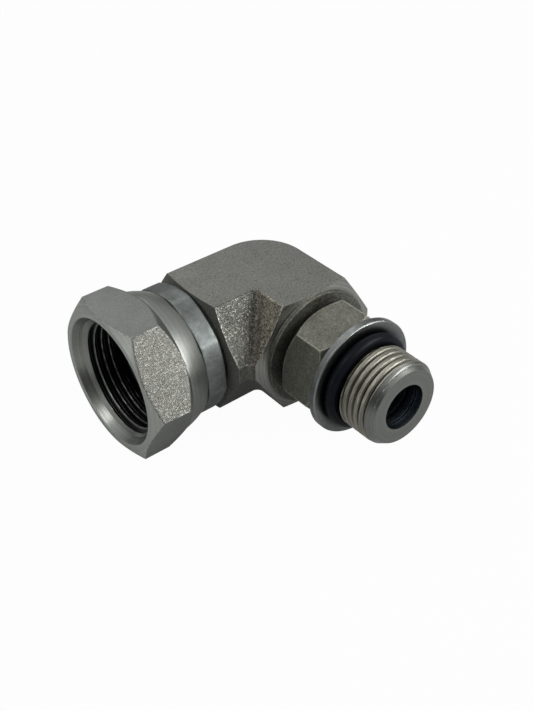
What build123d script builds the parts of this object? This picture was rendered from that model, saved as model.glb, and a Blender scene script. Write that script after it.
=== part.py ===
from build123d import *
import os
from math import cos, radians, tan

# A forged 90 degree elbow adapter for hydraulic lines. One port carries a crimped
# swivel nut, the other an adjustable stud with a lock nut, a backup washer and an
# O-ring. Units are millimetres. The origin is where the two drilled passages cross,
# +Z is up, the swivel port faces -X and the stud port faces -Y. A distance along a
# port is measured outwards from the origin.

# Forged block
flat_to_flat = 27.0
top_flat_width = 17.0
land_height = 3.8
width_over_lands = 32.0
top_corner_radius = 10.5
valley_radius = 1.6
forging_edge_radius = 0.5
swivel_arm_past_valley = 4.1
stud_arm_past_valley = 2.1
end_chamfer_inset = 0.4
end_chamfer_angle = 15.0

# Drilled passages
drill_overrun = 5.5
drill_tip_angle = 118.0

# Stud port
stud_thread = 19.05
stud_boss_inset = 0.2
stud_boss_length = 0.9
neck_depth = 1.075
stud_wall = 3.3
thread_runout = 0.8
port_thread_length = 9.6
nose_chamfer_depth = 1.1
nose_chamfer_length = 1.8

# Pieces on the stud
locknut_wall = 1.675
locknut_length = 10.3
locknut_rear_angle = 45.0
locknut_front_angle = 38.0
locknut_turn = 13.8
locknut_bore_chamfer = 0.6
locknut_travel = 1.3
locknut_stop_gap = 0.2
thread_clearance = 0.05
washer_width = 4.62
washer_thickness = 1.7
washer_rim_radius = 0.3
washer_clearance = 0.08
washer_end_room = 0.35
face_gap = 0.05
o_ring_section = 2.65
o_ring_stretch = 0.05
o_ring_end_room = 0.15

# Tail inside the swivel nut
collar_over_thread = 1.14
collar_length = 2.6
collar_edge = 0.3
tail_neck_depth = 2.2
tail_wall = 3.5
seat_under_thread = 1.06
seat_length = 0.3
seat_angle = 30.0
seat_tip_wall = 1.0

# Swivel nut
nut_gap = 1.3
nut_length = 19.9
nut_flats = 32.0
nut_wall = 3.94
nut_mouth_depth = 1.1
nut_mouth_angle = 30.0
nut_thread_lead = 1.34
nut_front_inset = 0.2
nut_front_angle = 29.0
nut_shank_length = 7.5
nut_rear_angle = 45.0
nut_shoulder_rise = 0.05
nut_shoulder_bulge = 0.2
nut_end_play = 0.2
nut_thread_relief = 0.2
nut_relief_taper = 1.2
skirt_length = 4.6
skirt_wall = 1.02
skirt_sides = 8
skirt_side_rise = 0.1
skirt_ridge_height = 0.45
skirt_ridge_turn = 34.5
lip_length = 3.2
swivel_clearance = 0.08

# Arm lengths, from the origin to the turned ends
swivel_arm_length = width_over_lands / 2 + swivel_arm_past_valley
stud_arm_length = width_over_lands / 2 + stud_arm_past_valley

# Places along the stud port
boss_end = stud_arm_length + stud_boss_length
locknut_start = boss_end + locknut_stop_gap + locknut_travel
locknut_end = locknut_start + locknut_length
washer_start = locknut_end + face_gap
washer_end = washer_start + washer_thickness
neck_start = washer_start - locknut_travel - washer_end_room
o_ring_start = washer_end + face_gap
neck_end = o_ring_start + o_ring_section + o_ring_end_room
stud_length = neck_end + port_thread_length

# Radii of the swivel port, inwards from the nut's flats
nut_thread_radius = nut_flats / 2 - nut_wall
collar_radius = nut_thread_radius + collar_over_thread
cavity_radius = collar_radius + swivel_clearance
waist_radius = cavity_radius + skirt_wall
tail_neck_radius = collar_radius - tail_neck_depth
seat_radius = nut_thread_radius - seat_under_thread
swivel_bore_radius = tail_neck_radius - tail_wall
seat_tip_radius = swivel_bore_radius + seat_tip_wall

# Radii of the stud port
stud_radius = stud_thread / 2
neck_radius = stud_radius - neck_depth
stud_bore_radius = neck_radius - stud_wall
locknut_bore_radius = stud_radius + thread_clearance
locknut_flats = 2 * (locknut_bore_radius + locknut_wall)
washer_bore_radius = neck_radius + washer_clearance
washer_radius = washer_bore_radius + washer_width

# Places along the swivel port
nut_start = swivel_arm_length + nut_gap
nut_end = nut_start + nut_length
skirt_end = nut_start + skirt_length
lip_end = nut_start + lip_length
collar_start = lip_end + nut_end_play
collar_end = collar_start + collar_length
seat_start = collar_end + seat_length
tail_end = seat_start + (seat_radius - seat_tip_radius) / tan(radians(seat_angle))
thread_start = tail_end + nut_thread_relief
rear_corner = skirt_end + nut_shank_length

# Port frames: local z runs out of the port and local y is up
SWIVEL = Plane(origin=(0, 0, 0), x_dir=(0, -1, 0), z_dir=(-1, 0, 0))
STUD = Plane(origin=(0, 0, 0), x_dir=(1, 0, 0), z_dir=(0, -1, 0))

# How far a cutting solid runs past what it cuts
spare = 1.0


def turned(outline, port):
    """Solid turned about a port axis from a closed outline of (distance, radius) points."""
    profile = Polyline(*[(radius, 0, distance) for distance, radius in outline], close=True)
    return port.location * revolve(make_face(profile), axis=Axis.Z)


def plug(radius, start, end, port):
    """Plain cylinder along a port axis."""
    return turned([(start, 0), (start, radius), (end, radius), (end, 0)], port)


def corner_radius(flats):
    """Radius over the corners of a hexagon with the given width across flats."""
    return flats / 2 / cos(radians(30))


def hexagon(flats, turn):
    """Regular hexagon across the given flats with one corner at the given angle."""
    return Rot(0, 0, turn) * RegularPolygon(corner_radius(flats), 6)


def half_section(inner):
    """Outer half of the arm's section, from the given inner coordinate outwards."""
    high = flat_to_flat / 2
    flat = top_flat_width / 2
    reach = width_over_lands / 2
    land = land_height / 2
    return [(inner, -high), (flat, -high), (reach, -land), (reach, land), (flat, high), (inner, high)]


def arm(length, port):
    """One arm of the block: its six-sided section with flash lands, run out along the port."""
    right = half_section(0)[1:-1]
    left = [(-across, up) for across, up in reversed(right)]
    section = make_face(Polyline(*right, *left, close=True))
    start = top_corner_radius - top_flat_width / 2
    run = extrude(section, amount=length - start)
    return port.location * Pos(0, 0, start) * run


def outer_corner():
    """Rounded back of the elbow: the outer half section turned a quarter about a vertical line."""
    centre = top_flat_width / 2 - top_corner_radius
    outline = Polyline(*[(across, centre, up) for across, up in half_section(centre)], close=True)
    upright = Axis((centre, centre, 0), (0, 0, 1))
    return revolve(make_face(outline), axis=upright, revolution_arc=90)


def end_chamfer(length, port):
    """Ring cut away where the arm's end is turned down to a circle."""
    inner = flat_to_flat / 2 - end_chamfer_inset
    outer = width_over_lands
    depth = (outer - inner) * tan(radians(end_chamfer_angle))
    return turned([(length, inner), (length, outer), (length - depth, outer)], port)


def valley_rounding():
    """Hollow rounding of the inside corner, run along the lands and up and down both slopes."""
    reach = width_over_lands / 2
    land = land_height / 2
    slope = reach - top_flat_width / 2
    rise = flat_to_flat / 2 - land
    far = reach + valley_radius
    near = reach + valley_radius * (1 - cos(radians(45)))
    start = (-far, -reach, land)
    end = (-reach, -far, land)
    sides = Polyline(end, (-reach, -reach, land), start)
    hollow = ThreePointArc(start, (-near, -near, land), end)
    section = make_face(sides + hollow).face()
    between = Solid.extrude(section, Vector(0, 0, -land_height))
    upper = Solid.extrude(section, Vector(slope, slope, rise))
    return between + upper + mirror(upper, about=Plane.XY)


def is_forged_rim(edge):
    """True for the edges round the top and bottom flats, away from the arm ends."""
    middle = edge.center()
    level = abs(edge.bounding_box().size.Z) < 0.01
    on_flat = abs(abs(middle.Z) - flat_to_flat / 2) < 0.01
    at_end = middle.X < 0.01 - swivel_arm_length or middle.Y < 0.01 - stud_arm_length
    return level and on_flat and not at_end


def forged_block():
    """The forging: two arms, the rounded back, a rounded valley and turned arm ends."""
    block = arm(swivel_arm_length, SWIVEL) + arm(stud_arm_length, STUD)
    block = (block + outer_corner() + valley_rounding()).clean()
    block = fillet([edge for edge in block.edges() if is_forged_rim(edge)], forging_edge_radius)
    block -= end_chamfer(swivel_arm_length, SWIVEL)
    return block - end_chamfer(stud_arm_length, STUD)


def stud():
    """Boss, lock nut thread, neck, port thread and chamfered nose, turned on the stud arm."""
    root = stud_arm_length - spare
    boss = flat_to_flat / 2 - stud_boss_inset
    outline = [
        (root, 0), (root, boss), (boss_end, boss), (boss_end, stud_radius),
        (neck_start - thread_runout, stud_radius), (neck_start, neck_radius),
        (neck_end, neck_radius), (neck_end + thread_runout, stud_radius),
        (stud_length - nose_chamfer_length, stud_radius),
        (stud_length, stud_radius - nose_chamfer_depth),
        (stud_length, 0),
    ]
    return turned(outline, STUD)


def tail():
    """Neck, retaining collar and coned nose that sit inside the swivel nut."""
    root = swivel_arm_length - spare
    outline = [
        (root, 0), (root, tail_neck_radius), (collar_start, tail_neck_radius),
        (collar_start, collar_radius - collar_edge), (collar_start + collar_edge, collar_radius),
        (collar_end - collar_edge, collar_radius), (collar_end, collar_radius - collar_edge),
        (collar_end, seat_radius), (seat_start, seat_radius), (tail_end, seat_tip_radius), (tail_end, 0),
    ]
    return turned(outline, SWIVEL)


def elbow_body():
    """The elbow with both turned ends and its two crossing passages."""
    wide = swivel_bore_radius
    tip = wide / tan(radians(drill_tip_angle / 2))
    mouth = tail_end + spare
    outline = [(-drill_overrun - tip, 0), (-drill_overrun, wide), (mouth, wide), (mouth, 0)]
    body = forged_block() + stud() + tail()
    body -= turned(outline, SWIVEL)
    return body - plug(stud_bore_radius, 0, stud_length + spare, STUD)


def skirt():
    """Crimped skirt of the nut: shallow curved sides that meet in ridges."""
    ridge = waist_radius + skirt_ridge_height
    side = waist_radius + skirt_side_rise
    step = 360 / skirt_sides
    sides = []
    for index in range(skirt_sides):
        angle = skirt_ridge_turn + index * step
        start = Vector(ridge, 0).rotate(Axis.Z, angle)
        middle = Vector(side, 0).rotate(Axis.Z, angle + step / 2)
        end = Vector(ridge, 0).rotate(Axis.Z, angle + step)
        sides.append(ThreePointArc(start, middle, end))
    band = extrude(make_face(Wire(sides)), amount=skirt_length)
    return SWIVEL.location * Pos(0, 0, nut_start) * band


def nut_envelope():
    """Outer turned form of the nut: swelling shank, corner cones and front face."""
    corner = corner_radius(nut_flats)
    outer = corner + spare
    shoulder = nut_flats / 2 + nut_shoulder_rise
    shoulder_at = rear_corner - (corner - shoulder) / tan(radians(nut_rear_angle))
    cone_top = rear_corner + spare / tan(radians(nut_rear_angle))
    front = nut_flats / 2 - nut_front_inset
    front_top = nut_end - (outer - front) * tan(radians(nut_front_angle))
    swell = (shoulder + waist_radius) / 2 + nut_shoulder_bulge
    middle = (shoulder_at + skirt_end) / 2
    root = skirt_end - spare
    near = Polyline((0, 0, root), (waist_radius, 0, root), (waist_radius, 0, skirt_end))
    shank = ThreePointArc((waist_radius, 0, skirt_end), (swell, 0, middle), (shoulder, 0, shoulder_at))
    far = Polyline(
        (shoulder, 0, shoulder_at), (outer, 0, cone_top), (outer, 0, front_top),
        (front, 0, nut_end), (0, 0, nut_end), (0, 0, root),
    )
    return SWIVEL.location * revolve(make_face(near + shank + far), axis=Axis.Z)


def nut_inside():
    """Space inside the nut: crimp lip, collar cavity, thread bore and countersunk mouth."""
    lip = tail_neck_radius + swivel_clearance
    thread = nut_thread_radius
    lead = thread + nut_thread_lead
    mouth = lead + nut_mouth_depth
    lead_at = nut_end - nut_mouth_depth / tan(radians(nut_mouth_angle))
    outline = [
        (nut_start - spare, 0), (nut_start - spare, lip), (lip_end, lip), (lip_end, cavity_radius),
        (thread_start - nut_relief_taper, cavity_radius), (thread_start, thread),
        (lead_at - nut_thread_lead, thread), (lead_at, lead), (nut_end, mouth),
        (nut_end + spare, mouth), (nut_end + spare, 0),
    ]
    return turned(outline, SWIVEL)


def swivel_nut():
    """Hexagonal swivel nut held on the tail by its crimped skirt."""
    prism = SWIVEL.location * extrude(hexagon(nut_flats, 0), amount=nut_end)
    nut = (prism & nut_envelope()) + skirt()
    return nut - nut_inside()


def locknut():
    """Hexagonal lock nut with turned corners, on the rear thread of the stud."""
    face = locknut_flats / 2
    outer = corner_radius(locknut_flats) + spare
    rear = locknut_start + (outer - face) * tan(radians(locknut_rear_angle))
    front = locknut_end - (outer - face) * tan(radians(locknut_front_angle))
    envelope = [
        (locknut_start, 0), (locknut_start, face), (rear, outer),
        (front, outer), (locknut_end, face), (locknut_end, 0),
    ]
    bore = locknut_bore_radius
    mouth = bore + locknut_bore_chamfer
    hole = [
        (locknut_start, 0), (locknut_start, mouth), (locknut_start + locknut_bore_chamfer, bore),
        (locknut_end - locknut_bore_chamfer, bore), (locknut_end, mouth), (locknut_end, 0),
    ]
    prism = STUD.location * extrude(hexagon(locknut_flats, locknut_turn), amount=locknut_end)
    return (prism & turned(envelope, STUD)) - turned(hole, STUD)


def backup_washer():
    """Flat backup washer that slides on the neck, between the lock nut and the O-ring."""
    disc = plug(washer_radius, washer_start, washer_end, STUD)
    disc = fillet(disc.edges().filter_by(GeomType.CIRCLE), washer_rim_radius)
    return disc - plug(washer_bore_radius, washer_start - spare, washer_end + spare, STUD)


def o_ring():
    """Rubber ring stretched on the neck in front of the washer."""
    section = o_ring_section / 2
    ring = neck_radius - o_ring_stretch + section
    return STUD.location * Pos(0, 0, o_ring_start + section) * Torus(ring, section)


def main():
    os.makedirs("parts", exist_ok=True)
    export_step(elbow_body(), "parts/elbow_body.step")
    export_step(swivel_nut(), "parts/swivel_nut.step")
    export_step(locknut(), "parts/locknut.step")
    export_step(backup_washer(), "parts/backup_washer.step")
    export_step(o_ring(), "parts/o_ring.step")


main()
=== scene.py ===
"""Looks of the hydraulic elbow adapter: threads, rounded edges, zinc finishes and stage.

Lengths are in metres. The drilled passages cross at the origin, the swivel port faces -X,
the stud port faces -Y, and +Z is up.
"""
import math

import bpy
import numpy as np
from mathutils import Matrix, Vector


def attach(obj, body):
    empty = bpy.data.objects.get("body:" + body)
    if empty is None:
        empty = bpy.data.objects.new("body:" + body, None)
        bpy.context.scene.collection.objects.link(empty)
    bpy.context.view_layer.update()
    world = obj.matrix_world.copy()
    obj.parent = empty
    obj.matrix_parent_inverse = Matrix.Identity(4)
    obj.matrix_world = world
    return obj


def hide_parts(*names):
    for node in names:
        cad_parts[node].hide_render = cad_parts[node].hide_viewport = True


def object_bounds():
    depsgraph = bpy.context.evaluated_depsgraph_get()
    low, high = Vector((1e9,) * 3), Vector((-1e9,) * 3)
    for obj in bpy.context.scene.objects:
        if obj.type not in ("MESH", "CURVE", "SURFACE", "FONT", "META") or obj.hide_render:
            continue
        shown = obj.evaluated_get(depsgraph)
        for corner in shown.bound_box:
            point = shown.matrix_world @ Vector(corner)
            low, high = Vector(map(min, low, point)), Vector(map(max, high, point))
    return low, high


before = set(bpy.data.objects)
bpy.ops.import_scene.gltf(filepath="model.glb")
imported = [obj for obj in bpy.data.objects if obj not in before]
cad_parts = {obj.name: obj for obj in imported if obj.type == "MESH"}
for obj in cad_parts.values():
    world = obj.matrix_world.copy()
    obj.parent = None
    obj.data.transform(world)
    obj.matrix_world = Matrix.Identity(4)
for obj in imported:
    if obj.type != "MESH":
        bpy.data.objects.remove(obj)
CAD_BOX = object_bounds()

bl_info = {
    "name": "Elbow adapter looks",
    "version": (1, 0, 0),
    "blender": (4, 5, 0),
    "location": "3D View > Sidebar > Elbow adapter",
    "description": "Builds the threads, nuts, finishes and stage of the elbow adapter",
    "category": "Object",
}

MM = 0.001
MICRON = 1e-6
# How far past a place in the solids its faces are told from the next ones
SLACK = 0.01 * MM
# How far a thread's edge is rounded where it meets a turned face
THREAD_ROUNDING = 0.06 * MM

# Places in the solids, out along the stud port
STUD_ARM_CHAMFER, STUD_ARM_END = 17.2 * MM, 18.1 * MM
STUD_START, STUD_END = 19.0 * MM, 45.0 * MM
NOSE_START = 43.22 * MM
# Places in the solids, out along the swivel port
SWIVEL_ARM_CHAMFER, SWIVEL_ARM_END = 19.2 * MM, 20.1 * MM
NUT_START, SKIRT_END, WAIST_END = 21.4 * MM, 26.0 * MM, 36.0 * MM
COUNTERSINK_START = 38.4 * MM
# Radii and widths of the solids
STUD_RADIUS, STUD_PASSAGE = 9.525 * MM, 5.15 * MM
NUT_THREAD_RADIUS, SWIVEL_PASSAGE = 12.06 * MM, 7.5 * MM
NUT_FLATS = 32.0 * MM

# Material slots of the elbow and of the swivel nut, in the order of their operators' lists
(FORGED_FLATS, STUD_TURNED, PASSAGE_WALLS, STUD_THREAD, INNER_SLOPES, FORGED_LANDS,
 SWIVEL_ARM_FACE, OUTER_SLOPES, STUD_ARM_FACE, SHADED_UNDER_SLOPES) = range(10)
NUT_FLAT, NUT_ROUGH_FLAT, NUT_TURNED, NUT_SKIRT, NUT_THREAD, NUT_WAIST, NUT_COUNTERSINK = range(7)

# Camera of the photograph: its angles in degrees, and how far it is shifted in its own plane
CAMERA_AZIMUTH, CAMERA_ELEVATION, CAMERA_ROLL = -38.502, 37.637, -0.999
CAMERA_RIGHT, CAMERA_UP = 0.784 * MM, -10.669 * MM

# Floor: how white it is to the camera, how much of that its reflections keep, and the grey
# that it throws back as light
FLOOR_WHITE, FLOOR_REFLECTED, FLOOR_GREY = 0.97, 0.15, 0.45

# Lamps that face the adapter's origin: name, place, width and height in metres, power in watts
LAMPS = (
    ("key_lamp", (0.30, -0.42, 0.27), 0.30, 0.42, 2.6),
    ("left_lamp", (-0.33, 0.06, 0.50), 0.20, 0.24, 0.40),
    ("side_lamp", (-0.55, 0.13, 0.07), 0.14, 0.20, 0.22),
    ("back_lamp", (0.10, 0.45, 0.50), 0.4, 0.3, 0.5),
)


# Settings

class ElbowAdapterSizes(bpy.types.PropertyGroup):
    """Sizes of the fine shapes that the solids leave to this scene."""

    stud_pitch: bpy.props.FloatProperty(
        name="Stud thread pitch", description="Distance between two ridges of the stud's thread",
        default=1.5875 * MM, precision=6, subtype="DISTANCE", unit="LENGTH")
    stud_thread_depth: bpy.props.FloatProperty(
        name="Stud thread depth", description="How far the stud's thread is cut in",
        default=0.95 * MM, precision=6, subtype="DISTANCE", unit="LENGTH")
    nut_pitch: bpy.props.FloatProperty(
        name="Nut thread pitch", description="Distance between two ridges of the nut's thread",
        default=1.814 * MM, precision=6, subtype="DISTANCE", unit="LENGTH")
    nut_thread_depth: bpy.props.FloatProperty(
        name="Nut thread depth", description="How far the swivel nut's thread is cut in",
        default=1.1 * MM, precision=6, subtype="DISTANCE", unit="LENGTH")
    edge_rounding: bpy.props.FloatProperty(
        name="Edge rounding", description="How far the hexagon's edges are worn round",
        default=0.25 * MM, precision=6, subtype="DISTANCE", unit="LENGTH")


class ElbowAdapterColours(bpy.types.PropertyGroup):
    """Base colours of the finishes."""

    forged: bpy.props.FloatVectorProperty(
        name="Forged steel", description="Zinc plate over the forged skin",
        default=(0.190, 0.192, 0.176), size=3, min=0, max=1, subtype="COLOR")
    turned: bpy.props.FloatVectorProperty(
        name="Turned steel", description="Zinc plate over turned faces",
        default=(0.194, 0.202, 0.187), size=3, min=0, max=1, subtype="COLOR")
    nut: bpy.props.FloatVectorProperty(
        name="Nut steel", description="Zinc plate on the swivel nut's flats",
        default=(0.171, 0.180, 0.167), size=3, min=0, max=1, subtype="COLOR")
    skirt: bpy.props.FloatVectorProperty(
        name="Crimped skirt", description="Burnished, bluish zinc on the crimp",
        default=(0.150, 0.164, 0.159), size=3, min=0, max=1, subtype="COLOR")
    locknut: bpy.props.FloatVectorProperty(
        name="Lock nut steel", description="Slightly olive zinc on the lock nut",
        default=(0.150, 0.151, 0.127), size=3, min=0, max=1, subtype="COLOR")
    rubber: bpy.props.FloatVectorProperty(
        name="Seal rubber", description="Black rubber of the O-ring",
        default=(0.006, 0.007, 0.010), size=3, min=0, max=1, subtype="COLOR")


class ElbowAdapterStage(bpy.types.PropertyGroup):
    """Camera and floor of the photograph."""

    lens: bpy.props.FloatProperty(
        name="Lens", description="Focal length for a picture 36 mm high",
        default=53.71, subtype="DISTANCE_CAMERA", unit="CAMERA")
    distance: bpy.props.FloatProperty(
        name="Camera distance", description="From the adapter's origin to the camera's plane",
        default=240.19 * MM, subtype="DISTANCE", unit="LENGTH")
    floor_size: bpy.props.FloatProperty(
        name="Floor size", description="Side of the square floor",
        default=3.0, subtype="DISTANCE", unit="LENGTH")


# Mesh helpers

def stud_port(distance, radius, angle):
    """Points of the stud port: distance runs out along -Y, angle turns from +X towards +Z."""
    axes = np.broadcast_arrays(radius * np.cos(angle), -distance, radius * np.sin(angle))
    return np.stack(axes, axis=-1)


def swivel_port(distance, radius, angle):
    """Points of the swivel port: distance runs out along -X, angle turns from -Y towards +Z."""
    axes = np.broadcast_arrays(-distance, -radius * np.cos(angle), radius * np.sin(angle))
    return np.stack(axes, axis=-1)


def grid_quads(rows, columns, first, closed):
    """Quads of a grid whose columns wrap round, and whose rows too if it is closed."""
    row = np.arange(rows if closed else rows - 1)[:, None]
    column = np.arange(columns)[None, :]
    after = (row + 1) % rows * columns
    beside = (column + 1) % columns
    row = row * columns
    corners = (row + column, row + beside, after + beside, after + column)
    return np.stack(corners, axis=-1).reshape(-1, 4) + first


def soft_min(first, second, width):
    """Smaller of two values, blended over the given width so that their crease is rounded."""
    near = np.clip(1 - np.abs(first - second) / width, 0, 1)
    return np.minimum(first, second) - near * near * width / 4


def soft_max(first, second, width):
    """Larger of two values, blended over the given width."""
    return -soft_min(-first, -second, width)


def zip_rings(ring_a, angle_a, ring_b, angle_b):
    """Triangles between two rings of points round one axis.

    Both rings are sorted by angle. Each step of one ring makes a triangle with the point
    that the other ring has reached by then. Ring a lies before ring b along the port.
    """
    order_a, order_b = np.argsort(angle_a), np.argsort(angle_b)
    ring_a, angle_a = ring_a[order_a], angle_a[order_a]
    ring_b, angle_b = ring_b[order_b], angle_b[order_b]
    next_a = np.append(angle_a[1:], angle_a[0] + 2 * np.pi)
    next_b = np.append(angle_b[1:], angle_b[0] + 2 * np.pi)
    wide_a = np.concatenate([angle_a - 2 * np.pi, angle_a, angle_a + 2 * np.pi])
    wide_b = np.concatenate([angle_b - 2 * np.pi, angle_b, angle_b + 2 * np.pi])
    at_b = (np.searchsorted(wide_b, next_a, side="right") - 1) % len(ring_b)
    at_a = (np.searchsorted(wide_a, next_b, side="left") - 1) % len(ring_a)
    along_a = np.stack([ring_a, np.roll(ring_a, -1), ring_b[at_b]], axis=1)
    along_b = np.stack([ring_b, ring_a[at_a], np.roll(ring_b, -1)], axis=1)
    return np.concatenate([along_a, along_b])


def merged_node(node):
    """A CAD node's points with doubles merged, its triangles and the normal at each corner."""
    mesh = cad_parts[node].data
    points = np.empty(len(mesh.vertices) * 3)
    mesh.vertices.foreach_get("co", points)
    triangles = np.empty(len(mesh.loops), dtype=np.int64)
    mesh.loops.foreach_get("vertex_index", triangles)
    normals = np.empty(len(mesh.loops) * 3)
    mesh.corner_normals.foreach_get("vector", normals)
    keys = np.round(points.reshape(-1, 3) / MICRON).astype(np.int64)
    _, first, same = np.unique(keys, axis=0, return_index=True, return_inverse=True)
    triangles = same.ravel()[triangles].reshape(-1, 3)
    normals = normals.reshape(-1, 3, 3)
    whole = (triangles != np.roll(triangles, 1, axis=1)).all(axis=1)
    return points.reshape(-1, 3)[first], triangles[whole], normals[whole]


def ring_on_stud(points, distance, radius):
    """Numbers of the points on a ring round the stud port, and their angles round it."""
    away = np.hypot(points[:, 0], points[:, 2])
    on_ring = (np.abs(-points[:, 1] - distance) < MICRON) & (np.abs(away - radius) < 2 * MICRON)
    ring = np.flatnonzero(on_ring)
    return ring, np.arctan2(points[ring, 2], points[ring, 0]) % (2 * np.pi)


def parts_by_kind(faces, kinds, normals=None):
    """Faces as one part for each kind, with their corner normals where these are given."""
    return [(faces[kinds == kind], kind, None if normals is None else normals[kinds == kind])
            for kind in np.unique(kinds)]


def new_piece(name, points, parts, materials):
    """Mesh object from points in metres and from parts.

    Each part is its faces, their material's number, and their corner normals or None, which
    leaves the normals to the mesh. Edges sharper than 32 degrees stay sharp.
    """
    used = np.unique(np.concatenate([faces.ravel() for faces, _, _ in parts]))
    new_index = np.full(len(points), -1)
    new_index[used] = np.arange(len(used))
    faces = [row for part, _, _ in parts for row in new_index[part].tolist()]
    mesh = bpy.data.meshes.new(name)
    mesh.from_pydata(points[used].tolist(), [], faces)
    index = np.concatenate([np.full(len(part), number) for part, number, _ in parts])
    mesh.polygons.foreach_set("material_index", index.astype(np.int32))
    mesh.polygons.foreach_set("use_smooth", np.ones(len(faces), dtype=bool))
    mesh.update()
    mesh.set_sharp_from_angle(angle=math.radians(32))
    given = [np.zeros((part.size, 3)) if normals is None else normals.reshape(-1, 3)
             for part, _, normals in parts]
    mesh.normals_split_custom_set(np.concatenate(given).tolist())
    for material in materials:
        mesh.materials.append(material)
    piece = bpy.data.objects.new(name, mesh)
    bpy.context.scene.collection.objects.link(piece)
    return piece


# Shapes

def thread_drop(distance, angle, depth, pitch, start, flank, land):
    """How deep a thread's groove is at a distance along its axis and an angle round it.

    The way from the nearest ridge is found from (distance - start) / pitch - angle / turn,
    which makes a right-hand helix. The ridge has a flat as wide as the land's share of the
    pitch and straight flanks at the given half angle. The groove is flat at the full depth,
    with its corners rounded.
    """
    corner_rounding = 0.25 * MM
    phase = (distance - start) / pitch - angle / (2 * np.pi)
    away = np.abs(phase - np.round(phase)) * pitch
    slope = np.maximum((away - pitch * land / 2) / math.tan(flank), 0)
    return np.maximum(soft_min(slope, np.full_like(away, depth), corner_rounding), 0)


def stud_grid(sizes):
    """Stud from its boss to its nose: distances by radius, as rows of a grid round the port.

    The radius is the smaller of the turned outline and the helical thread, which pauses in
    the neck. The last rows run inwards over the nose face.
    """
    # Turned outline in mm: rear thread, run-out, neck, run-out, front thread, nose chamfer
    outline_at = np.array([19.0, 28.4, 29.2, 35.4, 36.2, 43.2, 45.0]) * MM
    outline = np.array([9.525, 9.525, 8.45, 8.45, 9.525, 9.525, 8.425]) * MM
    # Rows in mm, close together where the thread is
    rear = np.arange(19.06, 28.4, 0.13)
    neck = np.array([28.4, 28.6, 28.8, 29.0, 29.2, 29.5, 32.0, 35.0, 35.3, 35.4])
    front = np.arange(35.44, 44.98, 0.07)
    face_at = np.array([44.997, 45.0, 45.0, 45.0, 45.0, 44.99]) * MM
    face_radius = np.array([8.38, 8.27, 7.3, 6.0, 5.45, 5.3]) * MM
    neck_start, neck_end = 28.4 * MM, 35.5 * MM

    distance = np.concatenate([rear, neck, front, [44.985]]) * MM
    angle = np.linspace(0, 2 * np.pi, 192, endpoint=False)
    turned = np.interp(distance, outline_at, outline)[:, None]
    thread = STUD_RADIUS - thread_drop(
        distance[:, None], angle[None, :], sizes.stud_thread_depth, sizes.stud_pitch,
        start=0, flank=math.radians(30), land=0.46)
    in_neck = (distance > neck_start) & (distance < neck_end)
    thread = np.where(in_neck[:, None], STUD_RADIUS, thread)
    radius = soft_min(turned, thread, THREAD_ROUNDING)
    face = np.repeat(face_radius[:, None], len(angle), axis=1)
    return np.concatenate([distance, face_at]), np.concatenate([radius, face]), angle


def forging_kinds(points, triangles):
    """Finish of each face of the forging, by where it lies and which way it points.

    The arms' end faces have their own finishes, and what stands past them is turned, apart
    from the boss's rim. The rest is forged: the flats point up or down, the lands sideways,
    and the slopes lie between them. The slopes of the inside corner are coarser than the
    outer ones, and below the middle plane their darker finish is painted shade.
    """
    facing, level, upright, tiny = 0.9, 0.98, 0.3, 1e-18
    crossing, drill_tip, corner_start = 5 * MM, 10.1 * MM, 5 * MM
    corners = points[triangles]
    x, y, z = corners.mean(axis=1).T
    normal = np.cross(corners[:, 1] - corners[:, 0], corners[:, 2] - corners[:, 0])
    normal /= np.maximum(np.linalg.norm(normal, axis=1, keepdims=True), tiny)
    up = np.abs(normal[:, 2])
    stud_away = np.hypot(x, z)
    in_passage = ((stud_away < STUD_PASSAGE + SLACK) & (-y > crossing)) | (
        (np.hypot(y, z) < SWIVEL_PASSAGE + SLACK) & (-x > -drill_tip))
    past_stud_arm = -y > STUD_ARM_END - SLACK
    past_swivel_arm = -x > SWIVEL_ARM_END - SLACK
    stud_end = (-y > STUD_ARM_CHAMFER) & (normal[:, 1] < -facing)
    swivel_end = (-x > SWIVEL_ARM_CHAMFER) & (normal[:, 0] < -facing)
    on_boss = past_stud_arm & (-y < STUD_START + SLACK) & (stud_away > STUD_RADIUS + SLACK)
    inner = (x < -corner_start) & (y < -corner_start)
    rules = (
        (stud_end & ~past_stud_arm, STUD_ARM_FACE),
        (swivel_end & ~past_swivel_arm, SWIVEL_ARM_FACE),
        (on_boss, FORGED_LANDS),
        (in_passage, PASSAGE_WALLS),
        (past_stud_arm | past_swivel_arm, STUD_TURNED),
        (up > level, FORGED_FLATS),
        (up < upright, FORGED_LANDS),
        # Under the middle plane the inside corner's slopes take a darker finish: painted shade.
        (inner & (z < 0), SHADED_UNDER_SLOPES),
        (inner, INNER_SLOPES),
    )
    return np.select([where for where, _ in rules], [kind for _, kind in rules], OUTER_SLOPES)


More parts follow.
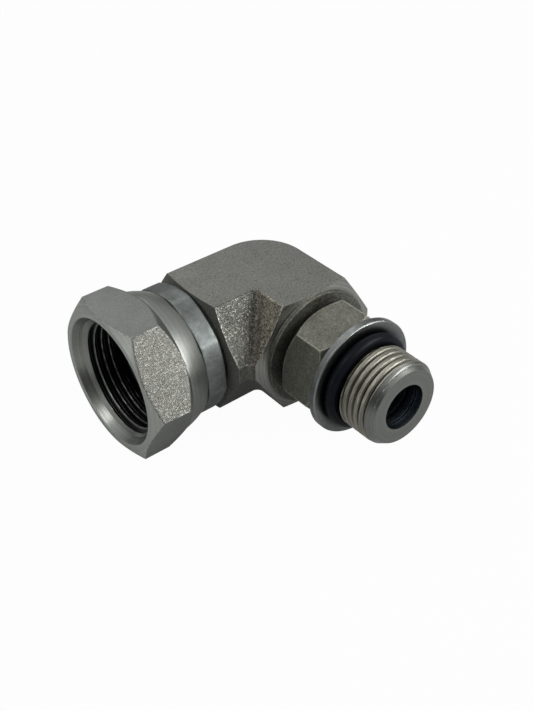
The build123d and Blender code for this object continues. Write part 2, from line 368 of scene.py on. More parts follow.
def build_elbow(sizes, materials):
    """Elbow body: the CAD forging with its plain stud cut out and the threaded stud put in.

    The cut ends at the CAD rings at the boss and at the passage's mouth, and the threaded
    grid is zipped to both, so the skin stays closed.
    """
    points, triangles, normals = merged_node("elbow_body")
    corners = points[triangles]
    middle = corners.mean(axis=1)
    away = np.hypot(middle[:, 0], middle[:, 2])
    on_stud = ((-corners[:, :, 1]).min(axis=1) > STUD_START - SLACK) & (
        away < STUD_RADIUS + SLACK) & (away > STUD_PASSAGE + SLACK)
    forging = triangles[~on_stud]
    distance, radius, angle = stud_grid(sizes)
    rows, columns = radius.shape
    first = len(points)
    quads = grid_quads(rows, columns, first, False)
    start = first + np.arange(columns)
    end = start + (rows - 1) * columns
    boss_zip = zip_rings(*ring_on_stud(points, STUD_START, STUD_RADIUS), start, angle)
    mouth_zip = zip_rings(end, angle, *ring_on_stud(points, STUD_END, STUD_PASSAGE))
    on_thread = np.repeat(distance[:-1] < NOSE_START, columns)
    parts = parts_by_kind(forging, forging_kinds(points, forging), normals[~on_stud])
    parts += [(quads[on_thread], STUD_THREAD, None), (quads[~on_thread], STUD_TURNED, None),
              (boss_zip, STUD_TURNED, None), (mouth_zip, STUD_TURNED, None)]
    stud = stud_port(distance[:, None], radius, angle[None, :]).reshape(-1, 3)
    return new_piece("elbow_forging", np.concatenate([points, stud]), parts, materials)


def hexagon_radius(angle):
    """Radius of the nut's hexagon: half the flats over the cosine of the way to a flat's middle."""
    to_middle = angle % (np.pi / 3) - np.pi / 6
    return NUT_FLATS / 2 / np.cos(to_middle)


def crowded_angles(count):
    """Angles of six equal sectors, each crowded towards the hexagon's corners at its ends."""
    crowding = 0.84
    step = np.arange(count) / count
    crowded = step - crowding * np.sin(2 * np.pi * step) / (2 * np.pi)
    return ((np.arange(6)[:, None] + crowded[None, :]) * np.pi / 3).ravel()


def skirt_radius(angle):
    """Radius of the crimped skirt: eight arcs of a large circle that meet in ridges.

    Each arc passes through two ridge points and a middle point. Its centre lies on the
    middle's line, beyond the port's axis, and the radius follows from that circle.
    """
    ridge, middle, half_sector = 14.75 * MM, 14.40 * MM, np.pi / 8
    ridge_turn = math.radians(34.5)
    chord, rise = ridge * math.sin(half_sector), middle - ridge * math.cos(half_sector)
    arc = (chord ** 2 + rise ** 2) / (2 * rise)
    centre = middle - arc
    to_middle = (angle - ridge_turn) % (2 * half_sector) - half_sector
    across = centre * np.sin(to_middle)
    return centre * np.cos(to_middle) + np.sqrt(arc ** 2 - across ** 2)


def circle_through(first, second, third):
    """Centre and radius of the circle through three points of a plane.

    Its centre is as far from the first point as from the second, and from the second as
    from the third, which makes two linear equations.
    """
    (x1, y1), (x2, y2), (x3, y3) = first, second, third
    spread = np.array([[x2 - x1, y2 - y1], [x3 - x2, y3 - y2]])
    known = np.array([(x2 ** 2 - x1 ** 2 + y2 ** 2 - y1 ** 2) / 2,
                      (x3 ** 2 - x2 ** 2 + y3 ** 2 - y2 ** 2) / 2])
    centre = np.linalg.solve(spread, known)
    return centre, math.hypot(x1 - centre[0], y1 - centre[1])


def nut_outside(distance, angle, rounding):
    """Radius of the swivel nut's outside.

    The smallest of the swelling shank with its rear cone, the hexagon and the front cone,
    each crease rounded. Behind the waist it is the crimped skirt.
    """
    # The shank's arc passes through these points: distance and radius in mm
    waist, swelling, shoulder = (26.0, 14.30), (28.5375, 15.375), (31.075, 16.05)
    nut_end, front_radius, front_angle = 41.3, 15.8, math.radians(29)
    near = distance / MM
    (middle_at, middle), size = circle_through(waist, swelling, shoulder)
    on_arc = np.clip(near, waist[0], shoulder[0]) - middle_at
    shank = middle + np.sqrt(np.maximum(size ** 2 - on_arc ** 2, 0))
    shank = np.where(near > shoulder[0], shoulder[1] + (near - shoulder[0]), shank) * MM
    front = (front_radius + (nut_end - near) / math.tan(front_angle)) * MM
    body = soft_min(shank, hexagon_radius(angle), rounding)
    body = soft_min(body, front, rounding)
    return np.where(distance < SKIRT_END - MICRON, skirt_radius(angle), body)


def nut_grid(sizes):
    """Closed grid of the swivel nut: a path round its half section, turned about the port.

    The path runs forwards over the outside, down the front face, back through the thread
    and the collar's cavity, and out over the rear face. It is given as distances and radii
    in mm, with its rows close together where the outline turns or carries the thread.
    """
    angle = crowded_angles(48)
    skirt = [21.4, 21.43, 21.5, 21.62, 21.8, 22.4, 23.2, 24.2, 25.2, 25.7, 25.88, 25.96, 25.995]
    shank = np.concatenate([[26.0, 26.03, 26.1], np.arange(26.25, 30.7, 0.32)])
    cone = np.arange(30.75, 34.0, 0.1)
    flats = np.linspace(34.1, 39.5, 8)
    front = np.append(np.arange(39.6, 41.26, 0.09), 41.3)
    outside_at = np.concatenate([skirt, shank, cone, flats, front]) * MM
    outside = nut_outside(outside_at[:, None], angle[None, :], sizes.edge_rounding)
    # Both ends of the skirt are rounded by taking this much off
    trim = np.interp(
        outside_at / MM,
        [21.4, 21.43, 21.5, 21.62, 21.8, 25.7, 25.88, 25.96, 25.995],
        [0.30, 0.18, 0.09, 0.03, 0, 0, 0.02, 0.07, 0.16]) * MM
    outside = outside - np.where(outside_at < SKIRT_END - MICRON, trim, 0)[:, None]

    face_at = np.array([41.3, 41.3, 41.27])
    face = np.array([15.6, 14.75, 14.53])

    # Turned bore: countersink, chamfer, the thread's crest, relief and cavity
    inside_at = np.concatenate([np.arange(41.2, 39.5, -0.15), np.arange(39.46, 31.0, -0.065)])
    bore_outline = np.interp(
        -inside_at,
        [-41.3, -39.395, -38.055, -32.23, -31.03, -31.0],
        [14.5, 13.4, 12.06, 12.06, 13.28, 13.28])
    inside_at = inside_at * MM
    # A ridge lies 38.8 mm out where it has turned by 200 degrees
    thread_start = 38.8 * MM - sizes.nut_pitch * 200 / 360
    thread = NUT_THREAD_RADIUS + thread_drop(
        inside_at[:, None], angle[None, :], sizes.nut_thread_depth, sizes.nut_pitch,
        start=thread_start, flank=math.radians(27.5), land=0.125)
    inside = soft_max(thread, bore_outline[:, None] * MM, THREAD_ROUNDING)

    # Cavity, crimped lip and rear face
    back_at = np.array([30.9, 27.0, 24.65, 24.6, 24.6, 24.6, 24.55, 21.5, 21.4, 21.4, 21.4])
    back = np.array([13.28, 13.28, 13.28, 13.2, 12.0, 11.15, 11.08, 11.08, 11.16, 12.3, 13.5])

    distance = np.concatenate([outside_at, face_at * MM, inside_at, back_at * MM])
    whole_turn = np.ones((1, len(angle))) * MM
    radius = np.concatenate([
        outside, face[:, None] * whole_turn, inside, back[:, None] * whole_turn])
    return distance, radius, angle, len(outside_at), len(outside_at) + len(face_at)


def build_nut(sizes, materials):
    """Swivel nut: one closed grid, with a finish for each face by where it lies.

    The flats are where the outside is the hexagon, and the one that points up and towards
    -Y is rough. In front of the waist the rest of the outside, like the faces, is turned.
    """
    flatness, cavity, rear_face = 0.06 * MM, 13.5 * MM, NUT_START + 0.05 * MM
    distance, radius, angle, outside_rows, inside_row = nut_grid(sizes)
    quads = grid_quads(len(distance), len(angle), 0, True)
    row = np.repeat(np.arange(len(distance)), len(angle))
    points = swivel_port(distance[:, None], radius, angle[None, :]).reshape(-1, 3)
    x, y, z = points[quads].mean(axis=1).T
    away, turn = np.hypot(y, z), np.arctan2(z, -y)
    outside, inside = row < outside_rows, row >= inside_row
    on_skirt = outside & (-x < SKIRT_END)
    on_flat = outside & (np.abs(away - hexagon_radius(turn)) < flatness)
    rough = on_flat & (turn > 0) & (turn < math.radians(60))
    behind_sink = (away < cavity) & (-x > rear_face) & (-x < COUNTERSINK_START)
    rules = (
        (inside & behind_sink, NUT_THREAD),
        (on_skirt, NUT_SKIRT),
        (rough, NUT_ROUGH_FLAT),
        (on_flat, NUT_FLAT),
        (outside & (-x < WAIST_END), NUT_WAIST),
        (inside & (-x >= COUNTERSINK_START), NUT_COUNTERSINK),
    )
    kinds = np.select([where for where, _ in rules], [kind for _, kind in rules], NUT_TURNED)
    return new_piece("swivel_nut_dressed", points, parts_by_kind(quads, kinds), materials)


# Nodes

def add(tree, kind, inputs=None, **settings):
    """Node with its settings and inputs, each of which is a value or another node's output."""
    node = tree.nodes.new(kind)
    for name, value in settings.items():
        setattr(node, name, value)
    for socket, given in (inputs or {}).items():
        if isinstance(given, bpy.types.NodeSocket):
            tree.links.new(given, node.inputs[socket])
        else:
            node.inputs[socket].default_value = given
    return node


def calc(tree, operation, *terms):
    """Result of a math operation on values or outputs."""
    return add(tree, "ShaderNodeMath", dict(enumerate(terms)), operation=operation).outputs[0]


def vector_calc(tree, operation, *terms):
    """Result of a vector operation: a number for a length or a dot product, else a vector."""
    node = add(tree, "ShaderNodeVectorMath", dict(enumerate(terms)), operation=operation)
    return node.outputs["Value" if operation in ("LENGTH", "DOT_PRODUCT") else "Vector"]


def ramp(tree, value, low=0.0, high=1.0, start=0.0, end=1.0, **settings):
    """Number that runs from start to end while the value runs from low to high.

    They are the map node's inputs in the order value, low, high, start and end.
    """
    inputs = dict(enumerate((value, low, high, start, end)))
    return add(tree, "ShaderNodeMapRange", inputs, **settings).outputs[0]


def noise(tree, place, scale, detail, roughness, distortion=0.0):
    """Noise texture's value at a place."""
    inputs = {"Vector": place, "Scale": scale, "Detail": detail, "Roughness": roughness,
              "Distortion": distortion}
    return add(tree, "ShaderNodeTexNoise", inputs).outputs["Fac"]


def blend(tree, first, second, factor=1.0, mode="MIX"):
    """Two colours blended by a factor: the mix node's inputs 6, 7 and 0, and its output 2."""
    inputs = {0: factor, 6: first, 7: second}
    return add(tree, "ShaderNodeMix", inputs, data_type="RGBA", blend_type=mode).outputs[2]


def dim(tree, tint, mask, low, high):
    """Tint, a colour or an output, multiplied by low to high as a mask runs from 0 to 1."""
    if not isinstance(tint, bpy.types.NodeSocket):
        tint = (*tint, 1)
    return blend(tree, tint, ramp(tree, mask, start=low, end=high), mode="MULTIPLY")


# Shader groups

def new_group(name, inputs, outputs):
    """Empty shader group with inputs, each (name, type, default or None), and float outputs."""
    group = bpy.data.node_groups.new(name, "ShaderNodeTree")
    for socket_name, kind, default in inputs:
        socket = group.interface.new_socket(name=socket_name, in_out="INPUT", socket_type=kind)
        if default is not None:
            socket.default_value = default
    for socket_name in outputs:
        group.interface.new_socket(
            name=socket_name, in_out="OUTPUT", socket_type="NodeSocketFloat")
    return group


def grain_group(name):
    """Fine plated grain: a speckle, a slow cloud, sparse pits, and a height from the first two."""
    group = new_group(name, [
        ("Coordinates", "NodeSocketVector", None),
        ("Speckle Scale", "NodeSocketFloat", 4000.0),
        ("Cloud Scale", "NodeSocketFloat", 140.0),
    ], ["Speckle", "Cloud", "Pits", "Height"])
    given = add(group, "NodeGroupInput").outputs
    place, scale = given["Coordinates"], given["Speckle Scale"]
    speckle = ramp(group, noise(group, place, scale, 3.0, 0.6), 0.32, 0.68)
    cloud = ramp(group, noise(group, place, given["Cloud Scale"], 4.0, 0.55), 0.3, 0.7)
    pit_scale = calc(group, "MULTIPLY", scale, 0.45)
    pits = ramp(group, noise(group, place, pit_scale, 1.0, 0.5), 0.66, 0.72)
    height = calc(group, "MULTIPLY_ADD", cloud, 0.35, speckle)
    add(group, "NodeGroupOutput", {
        "Speckle": speckle, "Cloud": cloud, "Pits": pits, "Height": height})
    return group


def pebble_group(name):
    """Coarse struck skin: worm-like bright ridges between dark pits, and slow dust."""
    group = new_group(name, [
        ("Coordinates", "NodeSocketVector", None),
        ("Scale", "NodeSocketFloat", 2600.0),
    ], ["Pebbles", "Dust", "Height"])
    given = add(group, "NodeGroupInput").outputs
    place, scale = given["Coordinates"], given["Scale"]
    coarse = noise(group, place, scale, 2.0, 0.65, 1.2)
    pebbles = ramp(group, coarse, 0.45, 0.60, interpolation_type="SMOOTHSTEP")
    dust_scale = calc(group, "MULTIPLY", scale, 0.12)
    dust = ramp(group, noise(group, place, dust_scale, 3.0, 0.6), 0.35, 0.65)
    height = calc(group, "MULTIPLY_ADD", dust, 0.6, pebbles)
    add(group, "NodeGroupOutput", {"Pebbles": pebbles, "Dust": dust, "Height": height})
    return group


def turning_group(name):
    """Fine rings left by turning: noise that changes only along the axis and away from it."""
    group = new_group(name, [
        ("Along", "NodeSocketFloat", 0.0),
        ("Across", "NodeSocketVector", None),
        ("Scale", "NodeSocketFloat", 5000.0),
    ], ["Rings"])
    given = add(group, "NodeGroupInput").outputs
    away = vector_calc(group, "LENGTH", given["Across"])
    place = add(group, "ShaderNodeCombineXYZ", {"X": given["Along"], "Y": away}).outputs[0]
    rings = ramp(group, noise(group, place, given["Scale"], 2.0, 0.6), 0.3, 0.7)
    add(group, "NodeGroupOutput", {"Rings": rings})
    return group


GROUPS = {
    "plated_grain": grain_group,
    "pebbled_skin": pebble_group,
    "turning_marks": turning_group,
}


def effect(tree, name, inputs):
    """Outputs of a node that holds one of the shared groups, which is built at its first use."""
    group = bpy.data.node_groups.get(name) or GROUPS[name](name)
    return add(tree, "ShaderNodeGroup", inputs, node_tree=group).outputs


# Materials

def new_material(name, metallic, roughness):
    """Material with a Principled BSDF: it, its tree, the shader and the Object coordinates."""
    material = bpy.data.materials.new(name)
    material.use_nodes = True
    tree = material.node_tree
    tree.nodes.clear()
    shader = add(tree, "ShaderNodeBsdfPrincipled", {"Metallic": metallic, "Roughness": roughness})
    add(tree, "ShaderNodeOutputMaterial", {"Surface": shader.outputs["BSDF"]})
    place = add(tree, "ShaderNodeTexCoord").outputs["Object"]
    return material, tree, shader, place


def dress(tree, shader, tint, height, depth, roughness=None):
    """Gives the shader its tint, a relief of a depth from a height, and a roughness if any."""
    relief = add(tree, "ShaderNodeBump", {"Height": height, "Strength": 1.0, "Distance": depth})
    tree.links.new(tint, shader.inputs["Base Color"])
    tree.links.new(relief.outputs["Normal"], shader.inputs["Normal"])
    if roughness:
        tree.links.new(roughness, shader.inputs["Roughness"])


def radius_mask(tree, place, port, low, high):
    """Mask that runs from 0 to 1 between two distances from a port's axis."""
    across = vector_calc(tree, "MULTIPLY", place, (0, 1, 1) if port == "swivel" else (1, 0, 1))
    return ramp(tree, vector_calc(tree, "LENGTH", across), low, high)


def worn_and_highlit_edge(tree, reach):
    """Mask that is 1 on the edges, which the finishes brighten as worn metal and as painted
    highlight.

    There the normal that is rounded within the reach leaves the true one, and their dot
    product falls below 1.
    """
    rounded = add(tree, "ShaderNodeBevel", {"Radius": reach}, samples=6).outputs["Normal"]
    true_normal = add(tree, "ShaderNodeNewGeometry").outputs["Normal"]
    return ramp(tree, vector_calc(tree, "DOT_PRODUCT", rounded, true_normal), 0.998, 0.95)


def plated(name, colour, roughness, speckle, bump, scale=2600.0, cloud=0.05, edge=0.0, edge_wear_and_sheen=1.6,
           painted_light_ring=None, pitted=0.0):
    """Zinc plated steel with a fine grain in colour, roughness and height, and bright edges.

    speckle and cloud are how far the colour goes up and down with either. Strong clouds are
    small ones, and all of them change the roughness by 0.03 either way. edge is the reach
    of the bright edges, which stand for worn metal and a painted highlight, and
    edge_wear_and_sheen is how bright it makes them. painted_light_ring is a port, two
    distances from its axis, and the levels that the colour has inside the first and outside
    the second; below 1 they paint shade and above 1 a highlight. pitted is how much darker
    the sparse pits are.
    """
    material, tree, shader, place = new_material(name, 1.0, roughness)
    cloud_scale = 420.0 if cloud > 0.1 else 140.0
    grain = effect(tree, "plated_grain", {
        "Coordinates": place, "Speckle Scale": scale, "Cloud Scale": cloud_scale})
    tint = dim(tree, colour, grain["Speckle"], 1 - speckle, 1 + speckle)
    tint = dim(tree, tint, grain["Cloud"], 1 - cloud, 1 + cloud)
    if pitted:
        tint = dim(tree, tint, grain["Pits"], 1.0, 1 - pitted)
    # Edges brightened as worn metal and as a painted highlight.
    if edge:
        tint = dim(tree, tint, worn_and_highlit_edge(tree, edge), 1.0, edge_wear_and_sheen)
    # Ring about a port's axis: painted shade where its level is below 1, painted highlight where it
    # is above.
    if painted_light_ring:
        port, near, far, inner, outer = painted_light_ring
        tint = dim(tree, tint, radius_mask(tree, place, port, near, far), inner, outer)
    uneven = ramp(tree, grain["Cloud"], start=roughness + 0.03, end=roughness - 0.03)
    dress(tree, shader, tint, grain["Height"], bump, uneven)
    return material


def pebbled(name, colour, stain, roughness, bump, scale, contrast, edge, edge_wear_and_sheen, seam=False,
            front=None):
    """Coarse forged skin under zinc: ridges brighter than pits, with slow stains.

    contrast is how far the colour goes up on the ridges and down in the pits, edge is the
    reach of the bright edges, which stand for worn metal and a painted highlight, and
    edge_wear_and_sheen is how bright it makes them. With a seam, painted shade makes the
    skin darker along the inside corner, where x and y are equal, and the skin is stained on
    the stud's side of it. front gives two distances along the swivel port: past them the
    edges are made darker instead of brighter, at the level that it gives last.
    """
    material, tree, shader, place = new_material(name, 1.0, roughness)
    skin = effect(tree, "pebbled_skin", {"Coordinates": place, "Scale": scale})
    tint = dim(tree, colour, skin["Pebbles"], 1 - contrast, 1 + contrast)
    stained = dim(tree, stain, skin["Pebbles"], 1 - contrast, 1 + contrast)
    axes = add(tree, "ShaderNodeSeparateXYZ", {0: place}).outputs
    if seam:
        tint = dim(tree, tint, skin["Dust"], 0.88, 1.12)
        stained = dim(tree, stained, skin["Dust"], 1.15, 0.85)
        across = calc(tree, "SUBTRACT", axes["X"], axes["Y"])
        tint = blend(tree, tint, stained, ramp(tree, across, -1.5 * MM, 2.5 * MM))
        # Painted shade: darker towards the inside corner's crease.
        away = ramp(tree, calc(tree, "ABSOLUTE", across), 0.1 * MM, 3.6 * MM,
                    interpolation_type="SMOOTHSTEP")
        tint = dim(tree, tint, away, 0.58, 1.0)
    else:
        tint = blend(tree, tint, stained, skin["Dust"])
    # Edges brightened as worn metal and as a painted highlight; past front they are darkened
    # instead.
    if front:
        near, far, dark = front
        level = ramp(tree, axes["X"], -far, -near, dark, edge_wear_and_sheen)
        tint = blend(tree, tint, level, worn_and_highlit_edge(tree, edge), "MULTIPLY")
    else:
        tint = dim(tree, tint, worn_and_highlit_edge(tree, edge), 1.0, edge_wear_and_sheen)
    dress(tree, shader, tint, skin["Height"], bump)
    return material


def turned_finish(name, colour, port, roughness, bump, scale=5000.0, marks=0.13, painted_root_shade=None):
    """Zinc over turned steel: the rings of the turning about a port's axis, and a light speckle.

    marks is how far the colour goes up and down with the rings. The clouds make it up to 0.07
    rougher and 0.05 smoother. painted_root_shade gives the radii of a thread's root and crest
    and how dark the root is painted, as shade in the thread's hollow.
    """
    material, tree, shader, place = new_material(name, 1.0, roughness)
    axes = add(tree, "ShaderNodeSeparateXYZ", {0: place}).outputs
    along, aside = (axes["X"], axes["Y"]) if port == "swivel" else (axes["Y"], axes["X"])
    across = add(tree, "ShaderNodeCombineXYZ", {0: aside, 2: axes["Z"]}).outputs[0]
    rings = effect(tree, "turning_marks", {
        "Along": along, "Across": across, "Scale": scale})["Rings"]
    grain = effect(tree, "plated_grain", {"Coordinates": place})
    tint = dim(tree, colour, rings, 1 - marks, 1 + marks)
    tint = dim(tree, tint, grain["Speckle"], 0.9, 1.1)
    # Painted shade in the thread's roots: darker towards the root's radius.
    if painted_root_shade:
        root, crest, dark = painted_root_shade
        tint = dim(tree, tint, radius_mask(tree, place, port, root, crest), dark, 1.0)
    uneven = ramp(tree, grain["Cloud"], start=roughness + 0.07, end=roughness - 0.05)
    dress(tree, shader, tint, rings, bump, uneven)
    return material


# Stage

def unit(vector):
    """Vector of length 1 in the same direction."""
    return np.asarray(vector) / np.linalg.norm(vector)


def axes_matrix(x_axis, y_axis, z_axis, place):
    """Matrix of an object at a place, turned so that its own axes are the given ones."""
    rows = np.stack([x_axis, y_axis, z_axis, place], axis=1)
    return Matrix((*rows.tolist(), (0, 0, 0, 1)))


def add_camera(scene, stage):
    """Camera fitted to the photograph."""
    azimuth, elevation = math.radians(CAMERA_AZIMUTH), math.radians(CAMERA_ELEVATION)
    roll = math.radians(CAMERA_ROLL)
    back = np.array([
        math.sin(azimuth) * math.cos(elevation), -math.cos(azimuth) * math.cos(elevation),
        math.sin(elevation)])
    level = unit(np.cross([0, 0, 1], back))
    upright = np.cross(back, level)
    right = math.cos(roll) * level + math.sin(roll) * upright
    up = -math.sin(roll) * level + math.cos(roll) * upright
    place = stage.distance * back + CAMERA_RIGHT * right + CAMERA_UP * up
    data = bpy.data.cameras.new("photo_camera")
    data.sensor_fit = "VERTICAL"
    data.sensor_height = 36.0
    data.lens = stage.lens
    data.clip_start = 0.01
    camera = bpy.data.objects.new("photo_camera", data)
    camera.matrix_world = axes_matrix(right, up, back, place)
    scene.collection.objects.link(camera)
    scene.camera = camera


def seen_by_camera(tree):
    """Light Path outputs, and a factor that is 1 where the camera looks, even through glass."""
    path = add(tree, "ShaderNodeLightPath").outputs
    return path, calc(tree, "MAXIMUM", path["Is Camera Ray"], path["Is Transmission Ray"])


def add_floor(scene, size):
    """White floor just under the adapter, greyer as a source of light than to the camera."""
    half = size / 2
    low = CAD_BOX[0][2] - 0.02 * MM
    corners = [(-half, -half, low), (half, -half, low), (half, half, low), (-half, half, low)]
    mesh = bpy.data.meshes.new("floor")
    mesh.from_pydata(corners, [], [(0, 1, 2, 3)])
    floor = bpy.data.objects.new("floor", mesh)
    scene.collection.objects.link(floor)
    material = bpy.data.materials.new("white_floor")
    material.use_nodes = True
    tree = material.node_tree
    tree.nodes.clear()
    path, seen = seen_by_camera(tree)
    reflected = calc(tree, "MULTIPLY", path["Is Glossy Ray"], FLOOR_REFLECTED)
    factor = calc(tree, "MULTIPLY", calc(tree, "MAXIMUM", seen, reflected), FLOOR_WHITE)
    paper = add(tree, "ShaderNodeBsdfDiffuse", {"Color": (FLOOR_GREY, FLOOR_GREY, FLOOR_GREY, 1)})
    white = add(tree, "ShaderNodeEmission", {"Color": (1, 1, 1, 1), "Strength": 1.0})
    mixed = add(tree, "ShaderNodeMixShader", {0: factor, 1: paper.outputs[0], 2: white.outputs[0]})
    add(tree, "ShaderNodeOutputMaterial", {"Surface": mixed.outputs[0]})
    mesh.materials.append(material)


def add_world(scene):
    """White background to the camera. As light it is a room, brighter overhead.

    The room is dark in one patch, in front to the left, near where the camera was held.
    """
    towards_patch = (-0.63, -0.66, 0.42)
    world = bpy.data.worlds.new("studio")
    scene.world = world
    world.use_nodes = True
    tree = world.node_tree
    tree.nodes.clear()
    _, seen = seen_by_camera(tree)
    way = add(tree, "ShaderNodeTexCoord").outputs["Generated"]
    height = add(tree, "ShaderNodeSeparateXYZ", {0: way}).outputs["Z"]
    rise = ramp(tree, height, 0.05, 0.75, 0.11, 0.85)
    nearness = vector_calc(tree, "DOT_PRODUCT", way, towards_patch)
    patch = ramp(tree, nearness, 0.82, 0.96, 1.0, 0.2)
    grey = calc(tree, "MULTIPLY", rise, patch)
    room = add(tree, "ShaderNodeBackground", {"Color": grey, "Strength": 1.0})
    white = add(tree, "ShaderNodeBackground", {"Color": (1, 1, 1, 1), "Strength": 1.0})
    mixed = add(tree, "ShaderNodeMixShader", {0: seen, 1: room.outputs[0], 2: white.outputs[0]})
    add(tree, "ShaderNodeOutputWorld", {"Surface": mixed.outputs[0]})


def add_lamps(scene):
    """Soft rectangular lamps that face the adapter's origin."""
    for name, place, width, height, power in LAMPS:
        light = bpy.data.lights.new(name, "AREA")
        light.shape = "RECTANGLE"
        light.size = width
        light.size_y = height
        light.energy = power
        lamp = bpy.data.objects.new(name, light)
        away = unit(place)
        side = unit(np.cross([0, 1, 0], away))
        lamp.matrix_world = axes_matrix(side, np.cross(away, side), away, place)
        scene.collection.objects.link(lamp)


# Operators

class ELBOWADAPTER_OT_stage(bpy.types.Operator):
    """White floor and background, soft lamps and the photograph's camera"""

    bl_idname = "elbowadapter.stage"
    bl_label = "Stage"

    def execute(self, context):
        scene = context.scene
        scene.view_settings.view_transform = "Standard"
        add_camera(scene, scene.elbow_adapter_stage)
        add_floor(scene, scene.elbow_adapter_stage.floor_size)
        add_world(scene)
        add_lamps(scene)
        return {"FINISHED"}


class ELBOWADAPTER_OT_elbow(bpy.types.Operator):
    """Forged elbow body with its cut threads"""

    bl_idname = "elbowadapter.elbow"
    bl_label = "Elbow body"

    def execute(self, context):
        colours = context.scene.elbow_adapter_colours
        materials = [
            plated(
                "forged_flats", colours.forged, roughness=0.50, speckle=0.34, bump=0.014 * MM,
                edge=0.3 * MM, edge_wear_and_sheen=1.25, pitted=0.3),
            turned_finish(
                "stud_turned", colours.turned, "stud", roughness=0.35, bump=0.010 * MM,
                scale=3000.0, marks=0.26),
            # Darker than the turned outside: painted shade inside the passages.
            turned_finish(
                "passage_walls", (0.095, 0.115, 0.14), "stud", roughness=0.35, bump=0.07 * MM,
                scale=3400.0, marks=0.9),
            # Its thread's roots are darkened with painted shade.
            turned_finish(
                "stud_thread_finish", (0.265, 0.258, 0.218), "stud", roughness=0.38,
                bump=0.03 * MM, scale=3200.0, marks=0.35, painted_root_shade=(8.8 * MM, 9.4 * MM, 0.4)),
            # Painted shade darkens this skin towards the inside corner.
            pebbled(
                "forged_slopes", (0.127, 0.128, 0.114), (0.260, 0.245, 0.199), roughness=0.42,
                bump=0.036 * MM, scale=2900.0, contrast=0.55, edge=0.8 * MM, edge_wear_and_sheen=1.9, seam=True),
            pebbled(
                "forged_lands", (0.163, 0.165, 0.149), (0.131, 0.128, 0.105), roughness=0.5,
                bump=0.03 * MM, scale=1500.0, contrast=0.2, edge=0.5 * MM, edge_wear_and_sheen=1.8),
            plated(
                "arm_ends", (0.20, 0.205, 0.19), roughness=0.8, speckle=0.2, bump=0.01 * MM),
            pebbled(
                "outer_slopes", (0.192, 0.193, 0.174), (0.170, 0.163, 0.134), roughness=0.45,
                bump=0.022 * MM, scale=2800.0, contrast=0.36, edge=0.5 * MM, edge_wear_and_sheen=1.5),
            turned_finish(
                "stud_arm_end", (0.285, 0.288, 0.268), "stud", roughness=0.24, bump=0.008 * MM,
                scale=2200.0, marks=0.22),
            # A darker copy of the inside corner's slopes: painted shade under the corner.
            pebbled(
                "under_slopes_painted_shade", (0.070, 0.072, 0.066), (0.050, 0.050, 0.044), roughness=0.38,
                bump=0.036 * MM, scale=2900.0, contrast=0.40, edge=0.5 * MM, edge_wear_and_sheen=1.2),
        ]
        piece = build_elbow(context.scene.elbow_adapter_sizes, materials)
        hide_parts("elbow_body")
        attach(piece, "elbow")
        return {"FINISHED"}


class ELBOWADAPTER_OT_swivel_nut(bpy.types.Operator):
    """Swivel nut with worn edges, crimped skirt and cut thread"""

    bl_idname = "elbowadapter.swivel_nut"
    bl_label = "Swivel nut"

    def execute(self, context):
        colours = context.scene.elbow_adapter_colours
        materials = [
            plated(
                "nut_flats", colours.nut, roughness=0.45, speckle=0.14, bump=0.008 * MM,
                edge=0.4 * MM, edge_wear_and_sheen=1.35),
            pebbled(
                "nut_rough_flat", (0.216, 0.217, 0.197), (0.196, 0.196, 0.175), roughness=0.42,
                bump=0.026 * MM, scale=3500.0, contrast=0.40, edge=0.6 * MM, edge_wear_and_sheen=1.9,
                front=(36.0 * MM, 37.0 * MM, 0.3)),
            turned_finish(
                "nut_turned", (0.378, 0.397, 0.368), "swivel", roughness=0.48, bump=0.006 * MM),
            # Brighter at the ridges: painted highlight along the crimp's ridges.
            plated(
                "nut_skirt", colours.skirt, roughness=0.46, speckle=0.12, bump=0.012 * MM,
                cloud=0.25, painted_light_ring=("swivel", 14.63 * MM, 14.74 * MM, 1.0, 1.2)),
            # Its thread's roots are darkened with painted shade.
            turned_finish(
                "nut_thread_finish", (0.26, 0.268, 0.262), "swivel", roughness=0.36,
                bump=0.01 * MM, painted_root_shade=(12.45 * MM, 12.1 * MM, 0.12)),
            turned_finish(
                "nut_waist", (0.258, 0.268, 0.250), "swivel", roughness=0.40, bump=0.006 * MM),
            turned_finish(
                "nut_countersink", (0.240, 0.249, 0.230), "swivel", roughness=0.31,
                bump=0.012 * MM, scale=3000.0, marks=0.25),
        ]
        piece = build_nut(context.scene.elbow_adapter_sizes, materials)
        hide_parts("swivel_nut")
        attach(piece, "nut")
        return {"FINISHED"}


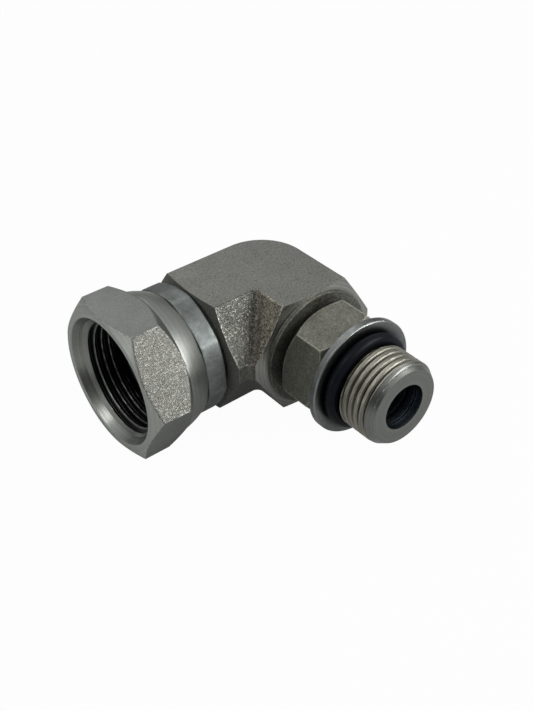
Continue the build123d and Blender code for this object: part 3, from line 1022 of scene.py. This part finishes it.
class ELBOWADAPTER_OT_stud_rings(bpy.types.Operator):
    """Finishes of the lock nut, the washer and the O-ring"""

    bl_idname = "elbowadapter.stud_rings"
    bl_label = "Lock nut, washer and O-ring"

    def execute(self, context):
        colours = context.scene.elbow_adapter_colours
        rubber, _, shader, _ = new_material("seal_rubber_finish", 0.0, 0.32)
        shader.inputs["Base Color"].default_value = (*colours.rubber, 1)
        shader.inputs["Specular IOR Level"].default_value = 0.07
        finishes = {
            "locknut": plated(
                "locknut_finish", colours.locknut, roughness=0.56, speckle=0.34, bump=0.02 * MM,
                cloud=0.12, edge=0.6 * MM, edge_wear_and_sheen=2.1),
            # Darker towards the O-ring: painted shade and reflection of the O-ring on the washer's
            # face.
            "backup_washer": plated(
                "washer_finish", (0.170, 0.181, 0.177), roughness=0.32, speckle=0.14,
                bump=0.008 * MM, cloud=0.15, edge=0.35 * MM, edge_wear_and_sheen=2.3,
                painted_light_ring=("stud", 11.2 * MM, 12.3 * MM, 0.35, 1.0)),
            "o_ring": rubber,
        }
        for node, finish in finishes.items():
            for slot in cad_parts[node].material_slots:
                slot.material = finish
        return {"FINISHED"}


class ELBOWADAPTER_PT_panel(bpy.types.Panel):
    """Lists the adapter's sizes, colours and building steps"""

    bl_idname = "ELBOWADAPTER_PT_panel"
    bl_label = "Elbow adapter"
    bl_space_type = "VIEW_3D"
    bl_region_type = "UI"
    bl_category = "Elbow adapter"

    def draw(self, context):
        scene = context.scene
        for settings in (
                scene.elbow_adapter_sizes, scene.elbow_adapter_colours, scene.elbow_adapter_stage):
            box = self.layout.box()
            for name in settings.__annotations__:
                box.prop(settings, name)
        for operator in OPERATORS:
            self.layout.operator(operator.bl_idname)


OPERATORS = (
    ELBOWADAPTER_OT_stage, ELBOWADAPTER_OT_elbow, ELBOWADAPTER_OT_swivel_nut,
    ELBOWADAPTER_OT_stud_rings,
)
SETTINGS = (ElbowAdapterSizes, ElbowAdapterColours, ElbowAdapterStage)
CLASSES = SETTINGS + OPERATORS + (ELBOWADAPTER_PT_panel,)


def register():
    """Registers the classes and puts their settings on the scene."""
    for item in CLASSES:
        bpy.utils.register_class(item)
    bpy.types.Scene.elbow_adapter_sizes = bpy.props.PointerProperty(type=ElbowAdapterSizes)
    bpy.types.Scene.elbow_adapter_colours = bpy.props.PointerProperty(type=ElbowAdapterColours)
    bpy.types.Scene.elbow_adapter_stage = bpy.props.PointerProperty(type=ElbowAdapterStage)


def unregister():
    """Takes the settings and classes off again."""
    del bpy.types.Scene.elbow_adapter_stage
    del bpy.types.Scene.elbow_adapter_colours
    del bpy.types.Scene.elbow_adapter_sizes
    for item in reversed(CLASSES):
        bpy.utils.unregister_class(item)


def main():
    """Builds everything."""
    register()
    bpy.ops.elbowadapter.stage()
    bpy.ops.elbowadapter.elbow()
    bpy.ops.elbowadapter.swivel_nut()
    bpy.ops.elbowadapter.stud_rings()


if __name__ == "__main__":
    main()
